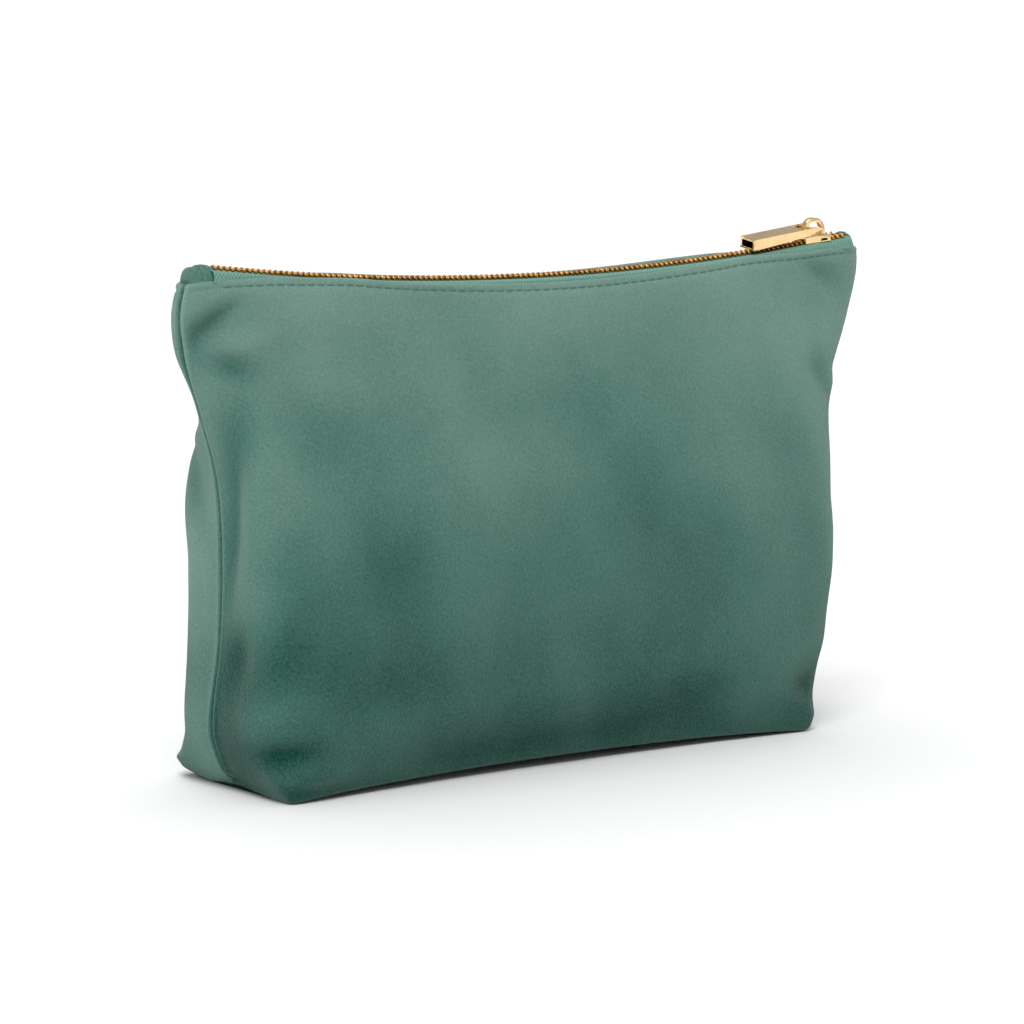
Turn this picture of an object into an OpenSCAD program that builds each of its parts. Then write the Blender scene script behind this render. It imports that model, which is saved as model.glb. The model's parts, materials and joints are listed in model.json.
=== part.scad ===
// Zip-top velvet makeup bag with boxed corners.
// Millimetres, +Z up, the front faces -Y, and the origin is the middle of the base on the floor.

/* [Bag] */
// Width of the base, from corner seam to corner seam
base_w = 194; // [184:1:204]
// Depth of the base, front to back
base_d = 62; // [56:1:70]
// Width at the mouth, from side seam to side seam
mouth_w = 250; // [240:1:260]
// Height of the zip's two ends
mouth_h = 153.8; // [145:0.1:165]
// How far the mouth leans forward of the base's middle
mouth_lean = 18.7; // [10:0.1:22]
// Half of the bag's depth at the hem
mouth_half_depth = 8.5; // [8:0.1:10]

/* [Zip] */
// Half of the length of the chain between the two end tabs
chain_half = 117; // [112:1:118]
// How far the middle of the zip dips below its ends
zip_sag = 7.5; // [6:0.1:9]
// Distance from one loop of a coil to the next
coil_pitch = 1.9; // [1.8:0.05:2.2]
// Depth of the hem below the middle of the coil, at the middle of the zip
hem_drop = 1.5; // [1.5:0.1:2.5]
// Depth of the hem below the middle of the coil, near the ends of the zip
hem_end_drop = 3; // [2.6:0.1:4]
// Place of the slider along the zip when the bag is closed
slider_x = 104.6; // [100:0.2:107]

/* [Layers] */
// Thickness of the velvet
velvet_t = 1; // [0.8:0.1:1.2]
// Thickness of the interlining behind the velvet
interlining_t = 1.2; // [0.8:0.1:1.2]
// Thickness of the lining
lining_t = 0.4; // [0.3:0.1:0.5]
// Thickness of the zip tape
tape_t = 0.5; // [0.4:0.1:0.5]

/* [Pull] */
// Length of the pull from its free end to its cross pin
pull_length = 26.8; // [24:0.2:36]
// Width of the pull
pull_w = 6.2; // [6:0.1:7]
// Height of the pull at its free end
pull_h = 3.5; // [3:0.1:3.6]
// Height of the pull at its cross pin
pull_pin_h = 2.2; // [2:0.1:2.3]

/* [Hidden] */

FRONT = -1;
BACK = 1;
LEFT = -1;
RIGHT = 1;

velvet_colour = [0.32, 0.49, 0.43];
interlining_colour = [0.9, 0.9, 0.86];
lining_colour = [0.45, 0.6, 0.54];
tape_colour = [0.39, 0.63, 0.55];
coil_colour = [0.8, 0.52, 0.24];
thread_colour = [0.36, 0.52, 0.46];
metal_colour = [0.9, 0.78, 0.58];

// The zip's middle line is an arc of a large circle about a level line above the bag.
arc_r = chain_half * chain_half / (2 * zip_sag) + zip_sag / 2;
arc_centre_z = mouth_h - zip_sag + arc_r;
zip_y = -mouth_lean;

// The wall's lower edge stands clear of the floor, and the two walls stop short of the seam.
wall_bottom_z = 0.6;
seam_gap = 0.9;
seam_half = 0.6;

// Depth of each layer below the wall's outer surface.
interlining_in = velvet_t + interlining_t;
slot_gap = 0.3;
tape_in = interlining_in + slot_gap;
lining_in = tape_in + tape_t + slot_gap;
wall_t = lining_in + lining_t;
base_inset = wall_t + 0.4;

// Outline of the bag by height, as [share of the height, half size].
width_knots = [
    [0, base_w / 2], [0.05, base_w / 2 + 4.8], [0.13, base_w / 2 + 8.8],
    [0.3, base_w / 2 + 7.3], [0.46, base_w / 2 + 8.5], [0.61, base_w / 2 + 11.7],
    [0.75, mouth_w / 2 - 8.7], [0.86, mouth_w / 2 - 1.9], [0.94, mouth_w / 2 + 0.4],
    [1, mouth_w / 2 - 0.5]];
depth_knots = [
    [0, base_d / 2], [0.06, base_d / 2 + 1.2], [0.15, base_d / 2 + 2], [0.3, base_d / 2 + 2.2],
    [0.46, base_d / 2 + 1], [0.61, base_d / 2 - 3], [0.75, base_d / 2 - 10.5],
    [0.87, base_d / 2 - 17.5], [1, mouth_half_depth]];
// How square the bag's plan is at each height: 2 is an ellipse and 12 nearly a rectangle.
squareness_knots = [
    [0, 12], [0.06, 9], [0.13, 7], [0.3, 5.6], [0.46, 5], [0.61, 4.3], [0.75, 2.8], [0.87, 2.5], [1, 3]];

// The hem lies lower towards the ends of the zip, and drops away from it at the bag's two ears.
hem_turn_start = 68;
hem_turn = 30;
ear_start = 100;
ear_width = 24.5;
ear_drop = 2.6;

// Steps of the wall's mesh, across from its middle to a side seam and up.
steps_across = 20;
steps_up = 12;
stitch_pitch = 3.3;
stitch_r = 0.22;

coil_wire_r = 0.4;
coil_inner = 0.35;
coil_outer = 2.35;
coil_z = 0.3;
cord_r = 0.24;
cord_z = -0.32;
tape_z = -0.6;
tape_inner = 0.35;
// The tape is tucked behind the hem. Beyond the ends of its seam it runs clear above the hem,
// and turns outwards enough to pass the slider's lower plate.
tuck_depth = 9;
tuck_start = 87;
tuck_end = 101;
tuck_clear = 0.8;
tape_ear_half = 5.4;
tape_ear_turn = 5;

// The slider, about its own middle: x is along the zip, y is across it.
slider_half = 4.5;
slider_top_z = 0.95;
slider_plate_t = 0.55;
slider_floor_z = -1.25;
slider_narrow = 3.2;
slider_wide = 4.5;
shoulder_start = -1.6;
shoulder_end = 3.2;
flange_t = 0.65;
notch_start = 1;
notch_length = 2.2;
notch_low = -0.15;
notch_high = 0.6;
bridge_x = 1.2;
bridge_w = 2.2;
bridge_r = 4;
bridge_hole_r = 2.9;
bridge_z = 2.9;
pin_r = 0.7;
pin_z = 3.6;
slot_half = 2.35;
slot_reach = 5.4;
// The pull lies loose in the bridge: rolled and swivelled towards the front, with its free end
// dipping beside the coil.
pull_roll = 11;
pull_swivel = 4;
pull_dip = 0.8;
tube_wall = 0.7;

// The folded tab at each end of the zip.
tab_start = chain_half + 0.2;
tab_r = 1.7;
tab_depth = 13;
tab_length = 8.6;
tab_z = mouth_h - 1.1;

// ---------- curves ----------

// Value at x of a smooth curve through knots of [x, value].
function knot_slope(k, i) =
    let (low = max(i - 1, 0), high = min(i + 1, len(k) - 1))
    (k[high][1] - k[low][1]) / (k[high][0] - k[low][0]);
function knot_before(k, x, i = 0) = i >= len(k) - 2 || x < k[i + 1][0] ? i : knot_before(k, x, i + 1);
function curve(k, x) =
    let (
        i = knot_before(k, x),
        h = k[i + 1][0] - k[i][0],
        t = (x - k[i][0]) / h,
        rise = t * t * (3 - 2 * t))
    k[i][1] * (1 - rise) + k[i + 1][1] * rise
    + h * knot_slope(k, i) * t * (1 - t) * (1 - t)
    - h * knot_slope(k, i + 1) * t * t * (1 - t);

function zip_z(x) = arc_centre_z - sqrt(arc_r * arc_r - x * x);
function zip_angle(x) = -asin(x / arc_r);
function rise(t) = let (u = max(0, min(1, t))) u * u * (3 - 2 * u);
function rim_z(x) =
    zip_z(x) - hem_drop - (hem_end_drop - hem_drop) * rise((abs(x) - hem_turn_start) / hem_turn)
    - ear_drop * pow(max(0, abs(x) - ear_start) / ear_width, 2);
function wall_centre_y(v) = -mouth_lean * pow(v, 1.3);

// A point of a wall: s runs from -1 to 1 between the side seams, v from 0 to 1 up the wall,
// and inset is the depth below the outer surface.
function wall_point(side, s, v, inset) =
    let (
        a = curve(width_knots, v) - inset,
        b = curve(depth_knots, v) - seam_gap - inset,
        n = curve(squareness_knots, v),
        d = abs(s) * (a + b),
        qx = min(d, a),
        qy = max(0, min(b, b - (d - a))),
        k = pow(pow(qx / a, n) + pow(qy / b, n), -1 / n),
        x = sign(s) * qx * k,
        y = wall_centre_y(v) + side * (seam_gap + qy * k))
    [x, y, wall_bottom_z + v * (rim_z(x) - wall_bottom_z)];

// Steps across the wall are finer near the side seams, where it turns.
function across(i) = let (u = i / steps_across) sign(u) * (1 - pow(1 - abs(u), 1.6));

// How far each coil stands from its meshed place: the chain parts inside the slider.
function parted(x) = max(0, min(1.8, 0.22 * (x - slider_x + 1.15)));

// ---------- shapes ----------

// Faces of a grid of points, and the strip that joins the rims of two such grids.
function grid_faces(rows, cols, first, flip) = [
    for (i = [0 : rows - 2], j = [0 : cols - 2])
        let (a = first + i * cols + j, b = a + 1, c = a + cols, d = c + 1)
        each flip ? [[a, b, d], [a, d, c]] : [[a, d, b], [a, c, d]]];
function rim(rows, cols) = concat(
    [for (j = [0 : cols - 2]) j],
    [for (i = [0 : rows - 2]) i * cols + cols - 1],
    [for (j = [cols - 1 : -1 : 1]) (rows - 1) * cols + j],
    [for (i = [rows - 1 : -1 : 1]) i * cols]);
function rim_faces(loop, shift) = [
    for (i = [0 : len(loop) - 1])
        let (a = loop[i], b = loop[(i + 1) % len(loop)])
        each [[a, b, b + shift], [a, b + shift, a + shift]]];

// Closed sheet between two grids of points of the same size.
module sheet(outer, inner, flip = false) {
    rows = len(outer);
    cols = len(outer[0]);
    count = rows * cols;
    faces = concat(
        grid_faces(rows, cols, 0, false),
        grid_faces(rows, cols, count, true),
        rim_faces(rim(rows, cols), count));
    polyhedron(
        points = [for (row = concat(outer, inner)) each row],
        faces = flip ? [for (f = faces) [f[2], f[1], f[0]]] : faces);
}

// Solid swept through convex loops that all have the same number of points.
module sweep(loops) {
    n = len(loops[0]);
    last = len(loops) - 1;
    walls = [
        for (i = [0 : last - 1], j = [0 : n - 1])
            let (a = i * n + j, b = i * n + (j + 1) % n)
            each [[a, b, b + n], [a, b + n, a + n]]];
    first_cap = [for (j = [1 : n - 2]) [0, j + 1, j]];
    last_cap = [for (j = [1 : n - 2]) [last * n, last * n + j, last * n + j + 1]];
    polyhedron(points = [for (loop = loops) each loop], faces = concat(walls, first_cap, last_cap));
}

// Round rod from one point to another.
module rod(p, q, r) {
    d = q - p;
    translate(p)
        rotate([0, acos(d[2] / norm(d)), atan2(d[1], d[0])])
            cylinder(h = norm(d), r = r, $fn = 16);
}

// Moves its children to a place along the zip, with x along it and z square to it.
module on_zip(x) {
    translate([0, zip_y, arc_centre_z])
        rotate([0, zip_angle(x), 0])
            translate([0, 0, -arc_r])
                children();
}

// ---------- walls ----------

// One layer of a wall, between two depths below its outer surface.
module wall_layer(side, near, far) {
    rows = [
        for (depth = [near, far]) [
            for (j = [0 : steps_up]) [
                for (i = [-steps_across : steps_across])
                    wall_point(side, across(i), j / steps_up, depth)]]];
    sheet(rows[0], rows[1], side == BACK);
}

module panel(side) {
    color(velvet_colour) wall_layer(side, 0, velvet_t);
}

module interlining(side) {
    color(interlining_colour) wall_layer(side, velvet_t, interlining_in);
}

module lining(side) {
    color(lining_colour) wall_layer(side, lining_in, wall_t);
}

// Row of separate stitches just below the folded top edge of a panel.
module topstitch(side) {
    count = floor(2 * chain_half / stitch_pitch);
    reach = 0.9;
    depth = 0.986;
    color(thread_colour)
        for (i = [0 : count - 1]) {
            s0 = reach * (2 * i / count - 1);
            s1 = reach * (2 * (i + 0.78) / count - 1);
            rod(wall_point(side, s0, depth, -0.05), wall_point(side, s1, depth, -0.05), stitch_r);
        }
}

// ---------- zip ----------

// Distance from the zip's middle to the outer face of the tape's slot in a wall, at x and at
// one of the wall's rows.
function slot_at(side, x, v) =
    let (
        a = curve(width_knots, v) - tape_in,
        b = curve(depth_knots, v) - seam_gap - tape_in,
        n = curve(squareness_knots, v))
    seam_gap + b * pow(max(0, 1 - pow(abs(x) / a, n)), 1 / n) + side * (wall_centre_y(v) - zip_y);

// Cross-section of a tape at x, as [distance from the zip's middle, height above the coil's
// middle], for its upper or its lower face.
function tape_section(side, x, face) =
    let (
        drop = face * tape_t,
        inner = tape_inner + parted(x),
        hem = rim_z(x) - zip_z(x),
        share = max(0, min(1, (abs(x) - tuck_start) / (tuck_end - tuck_start))),
        tuck = tuck_depth - share * (tuck_depth + tuck_clear),
        row_h = (rim_z(x) - wall_bottom_z) / steps_up,
        at_hem = slot_at(side, x, 1),
        below = slot_at(side, x, 1 - 1 / steps_up),
        spread = max(0, min(1, (abs(x) - tuck_end) / tape_ear_turn)),
        edge = at_hem + spread * max(0, tape_ear_half - at_hem),
        lip = edge + (below - at_hem) * max(0, tuck) / row_h,
        bend_z = hem - min(0, tuck) + 0.3)
    [
        [inner, tape_z - drop],
        [(inner + edge - drop) / 2, tape_z - drop],
        [edge - drop, tape_z - drop],
        [edge - drop, bend_z],
        [lip - drop, hem - tuck]];

module zip_tape(side) {
    count = 48;
    end_x = chain_half - 0.4;
    faces = [
        for (face = [0, 1]) [
            for (i = [0 : count])
                let (x = end_x * (2 * i / count - 1))
                [for (p = tape_section(side, x, face)) [x, zip_y + side * p[0], zip_z(x) + p[1]]]]];
    color(tape_colour) sheet(faces[0], faces[1], side == FRONT);
}

// The coil's loops, as bars across the chain. The back coil's loops lie between the front's.
module zip_coil(side) {
    count = floor((chain_half - 1) / coil_pitch);
    color(coil_colour)
        for (i = [-count : count]) {
            x = (i + (side == FRONT ? 0 : 0.5)) * coil_pitch;
            if (abs(x) < chain_half - 0.8)
                on_zip(x)
                    translate([0, side * (parted(x) - coil_inner), coil_z])
                        rotate([-side * 90, 0, 0])
                            cylinder(h = coil_inner + coil_outer, r = coil_wire_r, $fn = 20);
        }
}

// The cord that the coil is wound on, under the loops and on the tape.
module coil_cord(side) {
    rings = 50;
    sides = 6;
    end_x = chain_half - 0.6;
    loops = [
        for (i = [0 : rings])
            let (x = end_x * (2 * i / rings - 1))
            [for (j = [0 : sides - 1])
                let (turn = 360 * j / sides)
                [x,
                 zip_y + side * (1.3 + parted(x)) + cord_r * cos(turn),
                 zip_z(x) + cord_z + cord_r * sin(turn)]]];
    color(tape_colour) sweep(loops);
}

// ---------- slider and pull ----------

// Plan of the slider: narrow where the chain leaves it closed, wide where it parts.
module slider_plan(inset, nose) {
    narrow = slider_narrow - inset;
    wide = slider_wide - inset;
    polygon([
        [-nose, -narrow], [shoulder_start, -narrow], [shoulder_end, -wide], [nose, -wide],
        [nose, wide], [shoulder_end, wide], [shoulder_start, narrow], [-nose, narrow]]);
}

module slider_body() {
    plate_top = slider_top_z + slider_plate_t;
    flange_low = tape_z + 0.15;
    joint = 0.1;
    color(metal_colour)
        on_zip(slider_x)
            union() {
                // Upper and lower plates.
                for (z = [slider_top_z, slider_floor_z - slider_plate_t])
                    translate([0, 0, z]) linear_extrude(slider_plate_t) slider_plan(0, slider_half);
                // Flanges that keep the coils in, above the gap for the tapes, with a notch in each.
                difference() {
                    translate([0, 0, flange_low])
                        linear_extrude(slider_top_z + joint - flange_low)
                            difference() {
                                slider_plan(0, slider_half);
                                slider_plan(flange_t, slider_half + 1);
                            }
                    translate([notch_start, -2 * slider_wide, notch_low])
                        cube([notch_length, 4 * slider_wide, notch_high - notch_low]);
                }
                // Wedge that parts the two coils.
                translate([0, 0, slider_floor_z - joint])
                    linear_extrude(slider_top_z - slider_floor_z + 2 * joint)
                        polygon([
                            [1.8, -0.12], [4.1, -0.7], [slider_half, -0.5],
                            [slider_half, 0.5], [4.1, 0.7], [1.8, 0.12]]);
                // Bridge that holds the pull's pin.
                intersection() {
                    translate([bridge_x, bridge_w / 2, bridge_z])
                        rotate([90, 0, 0])
                            linear_extrude(bridge_w)
                                difference() {
                                    circle(r = bridge_r, $fn = 64);
                                    circle(r = bridge_hole_r, $fn = 64);
                                }
                    translate([bridge_x - 2 * bridge_r, -bridge_w, plate_top - joint])
                        cube([4 * bridge_r, 2 * bridge_w, 2 * bridge_r]);
                }
            }
}

// Moves its children to the pull's pin, with the pull lying loose along -x.
module on_pin() {
    on_zip(slider_x)
        translate([0, 0, pin_z])
            rotate([pull_roll, 0, pull_swivel])
                rotate([0, -pull_dip, 0])
                    children();
}

// Side view of the pull, or of its hollow when it is drawn a wall's thickness smaller, from its
// free end to a distance from the pin.
module pull_side(wall, to) {
    half_at = function(x) (pull_pin_h + (pull_h - pull_pin_h) * x / pull_length) / 2 - wall;
    far = half_at(pull_length);
    near = half_at(to);
    polygon([[-pull_length, -far], [-to, -near], [-to, near], [-pull_length, far]]);
}

module pull_tube() {
    hollow_end = slot_reach + 1.6;
    color(metal_colour)
        on_pin()
            difference() {
                rotate([90, 0, 0])
                    linear_extrude(pull_w, center = true)
                        union() {
                            pull_side(0, 0);
                            circle(r = pull_pin_h / 2, $fn = 32);
                        }
                rotate([90, 0, 0])
                    linear_extrude(pull_w - 2 * tube_wall, center = true)
                        pull_side(tube_wall, hollow_end);
                translate([-slot_reach, -slot_half, -pull_h])
                    cube([slot_reach + pull_h, 2 * slot_half, 2 * pull_h]);
                rotate([90, 0, 0]) cylinder(h = 2 * pull_w, r = pin_r, center = true, $fn = 32);
            }
}

module pull_pin() {
    color(metal_colour)
        on_pin()
            rotate([90, 0, 0])
                cylinder(h = pull_w, r = pin_r, center = true, $fn = 32);
}

// ---------- base, seams and tabs ----------

// One flat layer of the base, inside the lower edges of the walls.
module base_layer(low, high) {
    half = [
        for (i = [-steps_across : steps_across])
            let (p = wall_point(FRONT, across(i), 0, base_inset))
            [p[0], p[1]]];
    outline = concat(half, [for (i = [len(half) - 1 : -1 : 0]) [half[i][0], -half[i][1]]]);
    translate([0, 0, low]) linear_extrude(high - low) polygon(outline);
}

module base_panel() {
    color(velvet_colour) base_layer(0, velvet_t);
}

module base_interlining() {
    color(interlining_colour) base_layer(velvet_t, interlining_in);
}

module base_lining() {
    color(lining_colour) base_layer(lining_in, wall_t);
}

// Short seam across each end of the base that boxes the corner.
module corner_seam(end) {
    inner_x = base_w / 2 - base_inset - 2;
    reach = base_d / 2 - base_inset - 8;
    color(velvet_colour)
        translate([end * (inner_x + 0.5), 0, interlining_in + 0.25])
            cube([1, 2 * reach, 0.5], center = true);
}

// Allowance of a side seam, between the ends of the two walls.
module side_seam(end) {
    rings = 26;
    loops = [
        for (i = [0 : rings])
            let (
                v = 0.01 + 0.95 * i / rings,
                edge = wall_point(FRONT, end, v, 0),
                out_x = edge[0] - end * 0.4,
                in_x = edge[0] - end * 2.8,
                y = wall_centre_y(v))
            [[out_x, y - end * seam_half, edge[2]], [out_x, y + end * seam_half, edge[2]],
             [in_x, y + end * seam_half, edge[2]], [in_x, y - end * seam_half, edge[2]]]];
    color(velvet_colour) sweep(loops);
}

// Folded tab of velvet that closes the end of the zip.
module end_tab(end) {
    color(velvet_colour)
        translate([end * tab_start, zip_y + tab_depth / 2, tab_z])
            rotate([90, 0, 0])
                linear_extrude(tab_depth)
                    union() {
                        translate([min(0, end * (tab_length - tab_r)), -tab_r])
                            square([tab_length - tab_r, 2 * tab_r]);
                        translate([end * (tab_length - tab_r), 0]) circle(r = tab_r, $fn = 32);
                    }
}

// Row of stitches across a tab.
module tab_stitching(end) {
    stitches = 4;
    spacing = tab_depth / stitches;
    x = end * (tab_start + 2.4);
    color(thread_colour)
        for (i = [0 : stitches - 1]) {
            y = zip_y - tab_depth / 2 + (i + 0.15) * spacing;
            rod([x, y, tab_z + tab_r + 0.03], [x, y + 0.7 * spacing, tab_z + tab_r + 0.03], stitch_r);
        }
}

base_panel();
base_interlining();
base_lining();
corner_seam(LEFT);  // left_corner_seam
corner_seam(RIGHT);  // right_corner_seam
side_seam(LEFT);  // left_side_seam
side_seam(RIGHT);  // right_side_seam
end_tab(LEFT);  // left_end_tab
end_tab(RIGHT);  // right_end_tab
tab_stitching(LEFT);  // left_tab_stitching
tab_stitching(RIGHT);  // right_tab_stitching
panel(FRONT);  // front_panel
interlining(FRONT);  // front_interlining
lining(FRONT);  // front_lining
zip_tape(FRONT);  // front_zip_tape
zip_coil(FRONT);  // front_zip_coil
coil_cord(FRONT);  // front_coil_cord
topstitch(FRONT);  // front_topstitch
panel(BACK);  // back_panel
interlining(BACK);  // back_interlining
lining(BACK);  // back_lining
zip_tape(BACK);  // back_zip_tape
zip_coil(BACK);  // back_zip_coil
coil_cord(BACK);  // back_coil_cord
topstitch(BACK);  // back_topstitch
slider_body();
pull_tube();
pull_pin();
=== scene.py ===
"""Velvet makeup bag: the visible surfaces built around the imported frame.

Shapes are worked out in millimetres and scaled to metres when they become meshes.
"""
import json
import math

import bmesh
import bpy
import numpy as np
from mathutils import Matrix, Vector


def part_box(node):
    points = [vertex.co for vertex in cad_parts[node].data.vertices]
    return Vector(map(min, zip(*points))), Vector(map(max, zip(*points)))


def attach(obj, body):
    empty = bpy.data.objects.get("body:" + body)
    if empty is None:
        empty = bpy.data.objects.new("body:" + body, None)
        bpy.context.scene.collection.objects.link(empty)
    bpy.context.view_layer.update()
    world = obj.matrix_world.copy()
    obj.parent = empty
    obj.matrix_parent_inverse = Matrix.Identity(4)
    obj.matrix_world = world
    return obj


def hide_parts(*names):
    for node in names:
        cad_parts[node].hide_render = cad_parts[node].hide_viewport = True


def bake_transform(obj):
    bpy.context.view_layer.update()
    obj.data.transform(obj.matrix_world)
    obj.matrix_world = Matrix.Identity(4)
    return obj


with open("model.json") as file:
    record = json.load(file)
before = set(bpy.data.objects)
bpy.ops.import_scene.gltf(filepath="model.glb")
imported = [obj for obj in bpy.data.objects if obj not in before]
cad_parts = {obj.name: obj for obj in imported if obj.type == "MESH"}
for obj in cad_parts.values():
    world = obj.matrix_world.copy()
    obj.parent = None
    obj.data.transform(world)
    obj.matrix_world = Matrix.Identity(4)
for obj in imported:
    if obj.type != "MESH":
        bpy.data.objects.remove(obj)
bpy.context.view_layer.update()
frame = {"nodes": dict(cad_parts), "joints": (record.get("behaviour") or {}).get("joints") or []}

MM = 0.001
SIDES = {"front": -1, "back": 1}
ENDS = {"left": -1, "right": 1}

# ---------- sizes taken from the frame ----------


def frame_box(node):
    """Lowest and highest corner of a CAD node, in millimetres."""
    low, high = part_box(node)
    return np.array(low) / MM, np.array(high) / MM


JOINTS = {joint["name"]: joint for joint in frame["joints"]}
ZIP_Y, ARC_Z = (value / MM for value in JOINTS["slider_travel"]["pos_m"][1:])
PIN_X, PIN_Y, PIN_Z = (value / MM for value in JOINTS["pull_swing"]["pos_m"])
PIN_ABOVE_ZIP = 3.6
# The zip's middle line is an arc of this radius about the slider's far axis.
ARC_R = math.hypot(PIN_X, ARC_Z - PIN_Z) + PIN_ABOVE_ZIP
SLIDER_X = ARC_R * PIN_X / (ARC_R - PIN_ABOVE_ZIP)
# The CAD's base layers lie this far inside the outline of the base.
BASE_INSET = 4.1
BASE_HALF_W = frame_box("base_panel")[1][0] + BASE_INSET
BASE_HALF_D = frame_box("base_panel")[1][1] + BASE_INSET
CHAIN_HALF = frame_box("right_end_tab")[0][0] - 0.2
# The mouth lies this far in front of the middle of the base.
MOUTH_LEAN = -ZIP_Y
MOUTH_HALF_W = 125
MOUTH_HALF_D = 8.5
# Drop of the hems below the zip, along it and at its ends.
HEM_DROP = 1.5
HEM_END_DROP = 3

# ---------- curves ----------

# Outline of the bag by share of its height: half width, half depth, and squareness of its plan.
WIDTH = [
    (0, BASE_HALF_W), (0.05, BASE_HALF_W + 4.8), (0.13, BASE_HALF_W + 8.8),
    (0.3, BASE_HALF_W + 7.3), (0.46, BASE_HALF_W + 8.5), (0.61, BASE_HALF_W + 11.7),
    (0.75, MOUTH_HALF_W - 8.7), (0.86, MOUTH_HALF_W - 1.9), (0.94, MOUTH_HALF_W + 0.4),
    (1, MOUTH_HALF_W - 0.5)]
DEPTH = [
    (0, BASE_HALF_D), (0.06, BASE_HALF_D + 1.2), (0.15, BASE_HALF_D + 2),
    (0.3, BASE_HALF_D + 2.2), (0.46, BASE_HALF_D + 1), (0.61, BASE_HALF_D - 3),
    (0.75, BASE_HALF_D - 10.5), (0.87, BASE_HALF_D - 17.5), (1, MOUTH_HALF_D)]
SQUARENESS_SOFT = [
    (0, 26), (0.03, 16), (0.06, 9), (0.13, 7), (0.3, 5.6), (0.46, 5), (0.61, 4.3),
    (0.75, 2.8), (0.87, 2.5), (1, 3)]
SQUARENESS_FULL = [
    (0, 30), (0.05, 13), (0.11, 7), (0.2, 8.3), (0.32, 10), (0.42, 8.5), (0.5, 6), (0.62, 4.3),
    (0.68, 3.7), (0.75, 2.8), (0.87, 2.5), (1, 3)]
SQUARENESS_PINCHED = [
    (0, 26), (0.027, 16.6), (0.05, 8), (0.08, 4.9), (0.13, 3.9), (0.28, 5), (0.44, 4.4),
    (0.55, 6.4), (0.62, 5.7), (0.68, 4.1), (0.72, 2.5), (0.77, 2.5), (0.83, 3.4),
    (0.9, 3.5), (0.95, 4.6), (1, 8)]
SQUARENESS = {
    (-1, "left"): SQUARENESS_SOFT, (-1, "right"): SQUARENESS_FULL,
    (1, "left"): SQUARENESS_PINCHED, (1, "right"): SQUARENESS_SOFT}
# The right ear, above this share of the height, is drawn in by a small share.
RIGHT_EAR_START = 0.71
RIGHT_EAR_TURN = 0.05
RIGHT_EAR_PINCH = 0.018
# The hems turn down to their end drop over this stretch, and the ears droop beyond it.
HEM_TURN_START = 68
HEM_TURN = 30
EAR_START = 100
EAR_WIDTH = 24.5
EAR_DROP = 2.6
# The soft hems stand a little above the plain line of the CAD: x and rise, by side. Beyond
# HEMS_MEET the back hem comes down to the front one.
HEMS_MEET = 116
HEMS_MEET_REACH = 8.5
HEM_RISE = {
    -1: [(-124.5, 0.3), (-118, 0.7), (-112, 1.0), (-104, 1.4), (-95, 2.1), (-80, 1.9), (-60, 1),
         (-30, 0.3), (0, 0), (30, 0.3), (60, 1), (85, 1.4), (95, 1.1), (104, 0.7), (124.5, 0.6)],
    1: [(-124.5, 1.2), (-105, 1.9), (-80, 2.3), (-40, 1.8), (0, 1.4), (30, 1.7), (60, 2),
        (85, 1.4), (105, 0.6), (124.5, 0.4)]}


def curve(knots, x):
    """Value at x of a smooth curve through knots of (x, value)."""
    kx, ky = np.array(knots, float).T
    slope = np.empty(len(kx))
    slope[1:-1] = (ky[2:] - ky[:-2]) / (kx[2:] - kx[:-2])
    slope[0] = (ky[1] - ky[0]) / (kx[1] - kx[0])
    slope[-1] = (ky[-1] - ky[-2]) / (kx[-1] - kx[-2])
    i = np.clip(np.searchsorted(kx, x, side="right") - 1, 0, len(kx) - 2)
    h = kx[i + 1] - kx[i]
    t = (x - kx[i]) / h
    rise = t * t * (3 - 2 * t)
    bend = h * slope[i] * t * (1 - t) ** 2 - h * slope[i + 1] * t * t * (1 - t)
    return ky[i] * (1 - rise) + ky[i + 1] * rise + bend


def smooth(x):
    """0 below 0, 1 above 1 and a smooth rise between them."""
    x = np.clip(x, 0, 1)
    return x * x * (3 - 2 * x)


def zip_z(x):
    """Height of the middle of the coil at x."""
    return ARC_Z - np.sqrt(ARC_R**2 - x**2)


def rim_z(x, side):
    """Height of the folded top edge of a wall at x."""
    drop = HEM_DROP + (HEM_END_DROP - HEM_DROP) * smooth((np.abs(x) - HEM_TURN_START) / HEM_TURN)
    drop = drop + EAR_DROP * (np.maximum(0, np.abs(x) - EAR_START) / EAR_WIDTH) ** 2
    front_rise = curve(HEM_RISE[-1], x)
    apart = 1 - smooth((np.abs(x) - HEMS_MEET) / HEMS_MEET_REACH)
    return zip_z(x) - drop + front_rise + apart * (curve(HEM_RISE[side], x) - front_rise)


def parted(x):
    """How far each coil stands from its meshed place: the chain parts inside the slider."""
    return np.clip(0.22 * (x - SLIDER_X + 1.15), 0, 1.8)


# ---------- the wall's surface ----------

FOLD_R = 1.1
VELVET_T = 1.0
FLOOR_EDGE_R = 1.6
# The middle of each lower edge is lifted and drawn in, which fades out up the wall.
EDGE_LIFT = 2.6
EDGE_PULL = 5.0
EDGE_FADE = 25.0
# Distance from a wall's middle to its seam that the columns are shared over, and its height.
SEAM_REACH = 128.0
WALL_H = 150.0
# Distance of the stitches below the fold of a hem.
STITCH_BELOW = 2.1


def seam_distances():
    """Distances from a side seam to the columns of a wall, finer near the seam."""
    near = [0, 0.25, 0.5, 0.8, 1.15, 1.6, 2.2, 3, 4, 5.1]
    return np.concatenate([near, np.linspace(6.3, SEAM_REACH, 98)])


def columns():
    """Shares of the way from the middle of a wall to its side seams, from -1 to 1."""
    right = 1 - seam_distances()[::-1] / SEAM_REACH
    return np.concatenate([-right[:0:-1], right])


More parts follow.
